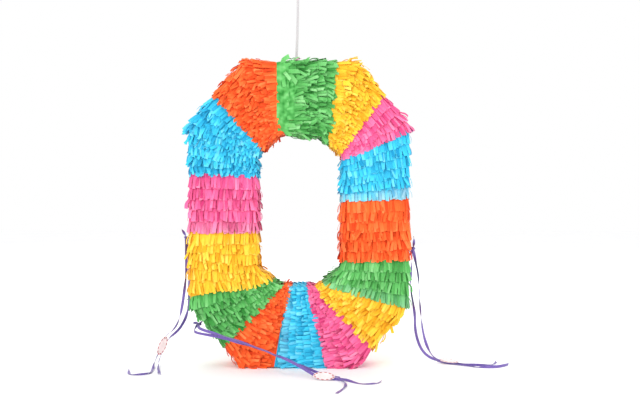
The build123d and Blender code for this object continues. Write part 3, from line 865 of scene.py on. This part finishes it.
# ---- ribbons
# The ribbons' routes, in metres, from the knot on the wall, through the label, to the cut end.
ROUTES = {
    "left_ribbon_front": [
        (-0.2075, -0.0028, 0.2285), (-0.2065, -0.004, 0.204), (-0.206, -0.0035, 0.173),
        (-0.2095, -0.004, 0.137), (-0.2145, -0.006, 0.1), (-0.221, -0.008, 0.076),
        (-0.2305, -0.0085, 0.062), (-0.243, -0.008, 0.0545), (-0.2504, -0.0092, 0.0369),
        (-0.2575, -0.009, 0.0195), (-0.2605, -0.016, 0.0105), (-0.26, -0.033, 0.0048),
        (-0.258, -0.058, 0.0027), (-0.256, -0.079, 0.0028), (-0.2565, -0.0965, 0.0027),
        (-0.2665, -0.1075, 0.0027), (-0.2815, -0.107, 0.0028), (-0.292, -0.096, 0.0027),
        (-0.2945, -0.078, 0.0027), (-0.299, -0.061, 0.0027)],
    "left_ribbon_rear": [
        (-0.2075, 0.0028, 0.2285), (-0.2065, 0.009, 0.206), (-0.2055, 0.019, 0.178),
        (-0.205, 0.025, 0.142), (-0.2055, 0.025, 0.11), (-0.209, 0.017, 0.085),
        (-0.218, 0.005, 0.0665), (-0.227, -0.003, 0.057), (-0.236, -0.0075, 0.0505),
        (-0.2415, -0.0082, 0.041), (-0.2467, -0.008, 0.0295), (-0.2515, -0.0095, 0.018),
        (-0.254, -0.018, 0.009), (-0.2525, -0.035, 0.004), (-0.2475, -0.06, 0.0027),
        (-0.2425, -0.083, 0.0028), (-0.236, -0.106, 0.0027)],
    "right_ribbon_front": [
        (0.2075, -0.0028, 0.2095), (0.2115, -0.0035, 0.188), (0.217, -0.004, 0.162),
        (0.2185, -0.003, 0.125), (0.2215, -0.002, 0.087), (0.226, -0.001, 0.054),
        (0.234, 0.002, 0.0295), (0.2435, 0.006, 0.0135), (0.256, 0.008, 0.0048),
        (0.27, -0.0009, 0.0028), (0.2856, -0.0103, 0.0027), (0.303, -0.025, 0.0027),
        (0.322, -0.0375, 0.0027), (0.345, -0.043, 0.0028), (0.365, -0.032, 0.0027),
        (0.379, -0.014, 0.0027)],
    "right_ribbon_rear": [
        (0.2075, 0.0028, 0.2095), (0.2065, 0.01, 0.19), (0.2055, 0.02, 0.167), (0.205, 0.025, 0.137),
        (0.21, 0.025, 0.109), (0.2135, 0.024, 0.085), (0.213, 0.022, 0.064), (0.2175, 0.02, 0.04),
        (0.2265, 0.0185, 0.0205), (0.2405, 0.0175, 0.0085), (0.2574, 0.0135, 0.004),
        (0.273, 0.004, 0.0028), (0.2884, -0.0057, 0.0027), (0.305, -0.0155, 0.0027),
        (0.323, -0.024, 0.0028), (0.34, -0.024, 0.0027), (0.352, -0.01, 0.0027),
        (0.362, 0.012, 0.0027)],
    "lower_ribbon_front": [
        (-0.1805, -0.027, 0.078), (-0.1805, -0.043, 0.075), (-0.1725, -0.059, 0.072),
        (-0.15, -0.069, 0.067), (-0.117, -0.076, 0.0585), (-0.08, -0.085, 0.047),
        (-0.045, -0.093, 0.0355), (-0.014, -0.104, 0.0245), (0.009, -0.124, 0.0155),
        (0.028, -0.1405, 0.0068), (0.044, -0.1465, 0.0034), (0.06, -0.1485, 0.0028),
        (0.074, -0.158, 0.0027), (0.08, -0.176, 0.0027), (0.078, -0.203, 0.0028),
        (0.071, -0.229, 0.0027), (0.063, -0.252, 0.0027)],
    "lower_ribbon_rear": [
        (-0.1825, -0.0208, 0.0765), (-0.1875, -0.034, 0.07), (-0.1865, -0.047, 0.0665),
        (-0.178, -0.0565, 0.065), (-0.1635, -0.061, 0.063), (-0.142, -0.0645, 0.06),
        (-0.112, -0.0705, 0.053), (-0.08, -0.0785, 0.044), (-0.045, -0.0865, 0.033),
        (-0.014, -0.0975, 0.023), (0.009, -0.1165, 0.0175), (0.028, -0.133, 0.012),
        (0.044, -0.142, 0.007), (0.06, -0.144, 0.0063), (0.076, -0.151, 0.0042),
        (0.089, -0.165, 0.0028), (0.102, -0.179, 0.0027), (0.116, -0.184, 0.0027),
        (0.129, -0.178, 0.0028), (0.138, -0.164, 0.0027)],
}
RIBBON_W = 5.0
RIBBON_T = 0.3
ROUNDS = 10              # points round a knot's band
# Each label's middle, the direction of its length, and the way that it faces.
LABELS = {
    "left_label": ((-248.4, -12.8, 35.6), (-14.5, -0.6, -34.7), (0.12, -1.0, 0.0)),
    "right_label": ((272.6, 0.4, 6.2), (31.0, -18.8, -1.5), (-0.1, -0.3, 1.0)),
    "lower_label": ((44.0, -149.4, 7.4), (34.0, -6.5, -1.0), (0.0, -1.0, 0.34)),
}
LABEL_HALF_L, LABEL_HALF_W, LABEL_HALF_T = 18.4, 6.9, 0.55
LABEL_EDGE_T = 0.45      # how thick its edge is, as a share
LABEL_RINGS = [0.0, 0.40, 0.62, 0.78, 0.95, 1.0]
DASH_RING = 3            # the dashes lie between this ring and the next
LABEL_STEPS = 48


def spline_points(name, points):
    """Points along a smooth NURBS curve with these control points, in metres."""
    data = bpy.data.curves.new(name + "_line", "CURVE")
    data.dimensions = "3D"
    data.resolution_u = 12
    spline = data.splines.new("NURBS")
    spline.points.add(len(points) - 1)
    for target, point in zip(spline.points, points):
        target.co = (*point, 1.0)
    spline.order_u = 3
    spline.use_endpoint_u = True
    line = bpy.data.objects.new(name + "_line", data)
    bpy.context.collection.objects.link(line)
    evaluated = line.evaluated_get(bpy.context.evaluated_depsgraph_get())
    mesh = bpy.data.meshes.new_from_object(evaluated)
    found = np.array([v.co for v in mesh.vertices], float)
    bpy.data.meshes.remove(mesh)
    bpy.data.objects.remove(line)
    return found


def evenly(points, spacing):
    """The same line with its points evenly spaced."""
    run = np.concatenate([[0], np.cumsum(np.linalg.norm(np.diff(points, axis=0), axis=1))])
    at = np.linspace(0, run[-1], max(8, int(run[-1] / spacing)))
    return np.stack([np.interp(at, run, points[:, k]) for k in range(3)], 1), at


def ribbon_piece(name, line, start_side, roll, width, material, cup=0.08, grounded=False):
    """A flat ribbon along a line in millimetres. start_side is its width's direction at the start, and
    roll turns it about the line, as a function of the distance along it."""
    points, at = evenly(line, 1.6)
    forward = unit(np.gradient(points, axis=0))
    side = np.array(start_side, float)
    tops = []
    turns = roll(at)
    for k, direction in enumerate(forward):
        side = side - direction * (side @ direction)
        side = side / np.linalg.norm(side)
        over = np.cross(direction, side)
        wide = side * math.cos(turns[k]) + over * math.sin(turns[k])
        thick = np.cross(direction, wide)
        centre = points[k].copy()
        if grounded and centre[2] < 5.0:
            rest = abs(wide[2]) * width / 2 + RIBBON_T
            centre[2] = min(centre[2], rest + max(0.0, centre[2] - 2.9))
        for part in (-1.0, -0.5, 0.0, 0.5, 1.0):
            bow = cup * width * (1 - part * part) * math.sin(at[k] * 0.11 + 1.0)
            tops.append((centre + wide * part * width / 2 + thick * bow, thick, part, at[k]))
    top = np.array([t[0] for t in tops])
    thick = np.array([t[1] for t in tops])
    points = np.concatenate([top + thick * RIBBON_T / 2, top - thick * RIBBON_T / 2])
    if grounded:
        points[:, 2] = np.maximum(points[:, 2], 0.15)
    across = [t[2] * 0.5 + 0.5 for t in tops] * 2
    along = [t[3] * 0.01 for t in tops] * 2
    faces = sheet_faces(len(forward), 5)
    return add_object(name, points, faces, [material], values={"across": across, "along": along}, sharp=50)


def swept_band(line, radius_wide, radius_thin, turns, first_side):
    """Points, faces, and values across and along, of a flattened tube along a line, closed at its
    ends, that turns about the line this many times."""
    line = np.asarray(line, float)
    count = len(line)
    angle = 2 * math.pi * np.arange(ROUNDS) / ROUNDS
    side = np.array(first_side, float)
    rings = []
    for k, forward in enumerate(unit(np.gradient(line, axis=0))):
        side = side - forward * (side @ forward)
        side = side / np.linalg.norm(side)
        over = np.cross(forward, side)
        turned = turns * 2 * math.pi * k / (count - 1)
        wide = side * math.cos(turned) + over * math.sin(turned)
        thin = np.cross(forward, wide)
        taper = min(1.0, (k + 0.6) / 2, (count - k - 0.4) / 2)
        ring = np.outer(np.cos(angle), wide) * radius_wide + np.outer(np.sin(angle), thin) * radius_thin
        rings.append(line[k] + ring * taper)
    caps = []
    for first, order in ((0, 1), ((count - 1) * ROUNDS, -1)):
        ring = np.arange(first, first + ROUNDS)[::order]
        caps += [(ring[r], ring[r - 1], ring[-r], ring[-r - 1]) for r in range(1, ROUNDS // 2)]
    faces = np.concatenate([grid_faces(count, ROUNDS, close_columns=True), caps])
    across = np.tile(0.5 + 0.5 * np.cos(angle), count)
    along = np.repeat(np.arange(count) * 0.02, ROUNDS)
    return np.concatenate(rings), faces, across, along


def knot_loop():
    """Points of a three-lobed knot of radius 1, all but closed."""
    t = np.linspace(0, 2 * math.pi * 0.995, 60)
    return np.stack([(np.sin(t) + 1.6 * np.sin(2 * t)) / 2.6, (np.cos(t) - 1.6 * np.cos(2 * t)) / 2.6,
                     -np.sin(3 * t) * 0.55], 1)


def knot_piece(name, knots, neck, material, tails=()):
    """Tied ribbon: a wound knot at each place with its radius, a twisted neck between, and loose tails."""
    bands = []
    for centre, radius in knots:
        bands.append(swept_band(centre + knot_loop() * radius * 0.72, radius * 0.42, radius * 0.24, 2,
                                (1, 0.3, 0.2)))
    a, b = (np.array(p, float) for p in neck)
    share = np.linspace(0, 1, 14)[:, None]
    bands.append(swept_band(a * (1 - share) + b * share, 1.7, 0.8, 1.5, np.cross(b - a, (0.3, 0.2, 0.9))))
    for tail in tails:
        line, _ = evenly(np.array(tail, float), 1.2)
        for _ in range(8):
            line[1:-1] = (line[:-2] + line[2:]) / 2
        bands.append(swept_band(line, 2.3, 0.2, 0.6, (0.2, 1, 0.1)))
    firsts = np.cumsum([0] + [len(band[0]) for band in bands])
    faces = np.concatenate([band[1] + first for band, first in zip(bands, firsts)])
    points, across, along = (np.concatenate([band[k] for band in bands]) for k in (0, 2, 3))
    return add_object(name, points, faces, [material], values={"across": across, "along": along}, sharp=60)


def label_piece(name, middle, along, face, materials):
    """A thin oval card with a dashed line round it, on both faces, a little bent."""
    length_way = unit(np.array(along, float))
    across = unit(np.cross(length_way, face))
    normal = np.cross(across, length_way)
    step = np.arange(LABEL_STEPS)
    share, angle = np.meshgrid(LABEL_RINGS, 2 * math.pi * step / LABEL_STEPS, indexing="ij")
    u, v = share * np.cos(angle) * LABEL_HALF_L, share * np.sin(angle) * LABEL_HALF_W
    bow = 0.5 * np.cos(u / LABEL_HALF_L * 1.3) - 0.3 + 0.02 * v
    half = np.where(share < 1, LABEL_HALF_T, LABEL_HALF_T * LABEL_EDGE_T)
    points = [middle + length_way * u[..., None] + across * (v * sign)[..., None]
              + normal * (bow + sign * half)[..., None] for sign in (1, -1)]
    one_face = grid_faces(len(LABEL_RINGS), LABEL_STEPS, close_columns=True)[:, [0, 3, 2, 1]]
    other_start = share.size
    rim, rim_next = share.size - LABEL_STEPS + step, share.size - LABEL_STEPS + (step + 1) % LABEL_STEPS
    mirror = share.size * 2 - LABEL_STEPS + (-step) % LABEL_STEPS
    mirror_next = share.size * 2 - LABEL_STEPS + (-step - 1) % LABEL_STEPS
    rim_faces = np.stack([rim_next, rim, mirror, mirror_next], 1)
    ring_of_face = np.repeat(np.arange(len(LABEL_RINGS) - 1), LABEL_STEPS)
    dashed = (ring_of_face == DASH_RING) & (np.tile(step, len(LABEL_RINGS) - 1) % 4 < 2)
    kinds = np.concatenate([dashed, dashed, np.zeros(LABEL_STEPS)])
    faces = np.concatenate([one_face, one_face + other_start, rim_faces])
    piece = add_object(name + "_card", points, faces, materials, face_material=kinds, sharp=45)
    merge_points(piece, 0.00002)
    return piece


def merge_points(piece, distance):
    """Joins points nearer than this many metres, and turns every face outwards."""
    mesh = bmesh.new()
    mesh.from_mesh(piece.data)
    bmesh.ops.remove_doubles(mesh, verts=mesh.verts, dist=distance)
    bmesh.ops.recalc_face_normals(mesh, faces=mesh.faces)
    mesh.to_mesh(piece.data)
    mesh.free()


def wander(seed, slow, fast, start=0.0):
    """A roll that turns slowly one way and wavers, as a function of distance in millimetres."""
    rng = np.random.default_rng(seed)
    phases = rng.uniform(0, 2 * math.pi, 3)
    return lambda at: (start + slow * at + fast * np.sin(at * 0.045 + phases[0])
                       + 0.6 * fast * np.sin(at * 0.11 + phases[1]) - fast * math.sin(phases[0]))


# ---- build it
def fringe(tissue):
    for index, (name, colour, *_) in enumerate(BANDS):
        shell, flap = band_tabs(index)
        tabs = tab_piece(name + "_tabs", shell, tissue[colour])
        strips = skin_piece(index, tissue[colour])
        if name == "fringe_top_green":
            cut_window(strips)
            flap_tabs = tab_piece("fill_flap_tabs", flap, tissue[colour])
            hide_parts("fill_flap_fringe")
            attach(flap_tabs, "flap")
        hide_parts(name)
        for piece in (tabs, strips):
            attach(piece, "shell")


FOLD_HALF = 7.0          # how far the tissue over the flap's fold reaches on each side of it


def flap_tissue(tissue):
    """The green tissue on the flap, across its fold and on the header beside it."""
    green = tissue["green"]
    flap_x = (flap_low[0] + 0.3, flap_high[0] - 0.3)
    flap_z = (flap_low[2] + 0.3, flap_high[2] - 0.3)
    # The low tone, 0.25, of the tissue under the flap's tabs is painted shade.
    under = crinkled_sheet("fill_flap_strips", flap_x, flap_z, FRONT - 0.45, green, 5, 0.5, 0.25)
    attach(under, "flap")
    header_low, header_high = box_mm("green_header")
    header_x = (header_low[0] + 1.0, header_high[0] - 0.5)
    header_z = (place(HOLE, 0.1)[1] + 1.5, CARD[0][1] - 0.5)
    header = crinkled_sheet("green_header_sheet", header_x, header_z, FRONT - 0.75, green, 6, 3.0, 0.36)
    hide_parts("green_header")
    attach(header, "shell")
    hinge_x = HINGE["pos_m"][0] / MM
    fold_x = (hinge_x - FOLD_HALF, hinge_x + FOLD_HALF)
    fold = crinkled_sheet("fill_flap_fold_tissue", fold_x, flap_z, FRONT - 0.9, green, 7, 0.8, 0.36, 1.0)
    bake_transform(fold)


TIE_KNOT = 4.3           # radius of a side tie's knots,
CAD_KNOT = 4.5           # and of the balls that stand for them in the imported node


def side_ties(purple, label_materials):
    """Each side's tie, its two strands and its label."""
    labels = {name: label_piece(name, *facts, label_materials) for name, facts in LABELS.items()}
    for name, label in labels.items():
        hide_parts(name)
        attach(label, "shell")
    rolls = {
        "left_ribbon_front": wander(11, 0.016, 0.6, 0.4), "left_ribbon_rear": wander(12, -0.018, 0.6, 1.2),
        "right_ribbon_front": wander(13, 0.017, 0.6, 0.9), "right_ribbon_rear": wander(14, -0.016, 0.6, 0.2),
        "lower_ribbon_front": wander(15, 0.015, 0.5, 0.3), "lower_ribbon_rear": wander(16, -0.016, 0.5, 1.0),
    }
    for side in ("left", "right", "lower"):
        outer, inner = tie_ends(side)
        knots = [(outer, TIE_KNOT), (inner, TIE_KNOT)]
        tie = knot_piece(side + "_tie_knots", knots, (inner, outer), purple, TAILS[side](outer))
        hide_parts(side + "_ribbon_tie")
        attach(tie, "shell")
        for strand in ("front", "rear"):
            name = f"{side}_ribbon_{strand}"
            path = spline_points(name, ROUTES[name])
            ribbon = ribbon_piece(name + "_strand", path / MM, (0.2, 1.0, 0.1), rolls[name], RIBBON_W,
                                  purple, grounded=True)
            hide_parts(name)
            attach(ribbon, "shell")


def tie_ends(side):
    """Middles of a tie's outer and inner knots, from the box of its node."""
    low, high = box_mm(side + "_ribbon_tie")
    _, y, z = (low + high) / 2
    low, high = low + CAD_KNOT, high - CAD_KNOT
    if side == "lower":
        return np.array([low[0], y, low[2]]), np.array([high[0], y, high[2]])
    outer_x, inner_x = (low[0], high[0]) if side == "left" else (high[0], low[0])
    return np.array([outer_x, y, z]), np.array([inner_x, y, z])


TAILS = {
    "left": lambda k: [[k, k + (-3, -2, 8), k + (-9, -3, 17)], [k, k + (3, -3, -4), k + (3, -4, -14)]],
    "right": lambda k: [[k, k + (2, -3, 10), k + (1, -4, 22)], [k, k + (-3, -3, -8), k + (-9, -4, -18)]],
    "lower": lambda k: [[k, k + (-5, -4, 4), k + (-10, -7, 2)]],
}


WHITE_W = 4.8            # width of the hanging ribbon,
LOOP_W = 4.4             # and of its loop


def hanging(white, pink):
    """The white ribbon, its knots and its loop."""
    foot_low, foot_high = box_mm("hang_tie")
    loop_low, loop_high = box_mm("hang_loop")
    foot_r, inner_r, loop_knot_r = 4.2, 7.0, 4.2
    x, y, _ = (foot_low + foot_high) / 2
    foot = np.array([x, y, foot_high[2] - foot_r])
    inside = np.array([x, y, foot_low[2] + inner_r])
    top = (loop_low + loop_high) / 2
    top[2] = loop_low[2] + loop_knot_r
    tie = knot_piece("hang_tie_knots", [(foot, 4.0), (inside, 6.4)], (inside, foot), pink,
                     [[foot, foot + (4, -4, 3), foot + (10, -5, 2)]])
    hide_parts("hang_tie")
    share = np.linspace(0, 1, 24)[:, None]
    line = foot * (1 - share) + top * share
    line[:, 0] += 0.9 * np.sin(share[:, 0] * math.pi)
    ribbon = ribbon_piece("hang_ribbon_strand", line, (1.0, -0.15, 0.0), wander(21, 0.004, 0.16), WHITE_W,
                          white)
    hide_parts("hang_ribbon")
    radius = (loop_high[2] - top[2]) / 2 - 1.2
    t = np.linspace(0, 2 * math.pi, 60)
    pinch = 0.55 + 0.45 * np.sin(t / 2) ** 1.2
    ring = np.stack([top[0] + radius * np.sin(t) * pinch, top[1] + 0.8 * np.sin(2 * t),
                     top[2] + radius - radius * np.cos(t)], 1)
    loop = ribbon_piece("hang_loop_ribbon", ring, (0, 1, 0), lambda at: 0.25 * np.sin(at * 0.08), LOOP_W,
                        white)
    loop_knot = knot_piece("hang_loop_knot", [(top, 3.9)], (top - (0, 0, 3), top + (0, 0, 3)), white)
    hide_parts("hang_loop")
    for piece in (tie, ribbon, loop, loop_knot):
        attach(piece, "shell")


def card_nodes(card):
    """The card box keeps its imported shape."""
    names = ["front_panel", "back_panel", "outer_wall_left", "outer_wall_right", "inner_wall",
             "front_glue_tabs", "back_glue_tabs", "hang_backing_card", "fill_flap"]
    names += [side + "_tie_washer" for side in ("left", "right", "lower")]
    for name in names:
        node = frame["nodes"][name]
        node.data.materials.clear()
        node.data.materials.append(card)


def build():
    add_camera()
    purple = ribbon_material("ribbon_purple", *SATIN["purple"], 0.42)
    white = ribbon_material("ribbon_white", *SATIN["white"], 0.5)
    pink = ribbon_material("ribbon_pink", *SATIN["pink"], 0.5)
    label_materials = [label_material("label_face", srgb(216, 198, 198), srgb(176, 166, 164)),
                       label_material("label_line", srgb(160, 24, 48), srgb(120, 30, 50))]
    side_ties(purple, label_materials)
    hanging(white, pink)
    tissue = {name: tissue_material(name) for name in TISSUE}
    fringe(tissue)
    flap_tissue(tissue)
    card_nodes(card_material())
    add_lights()
    add_floor(floor_material())


build()
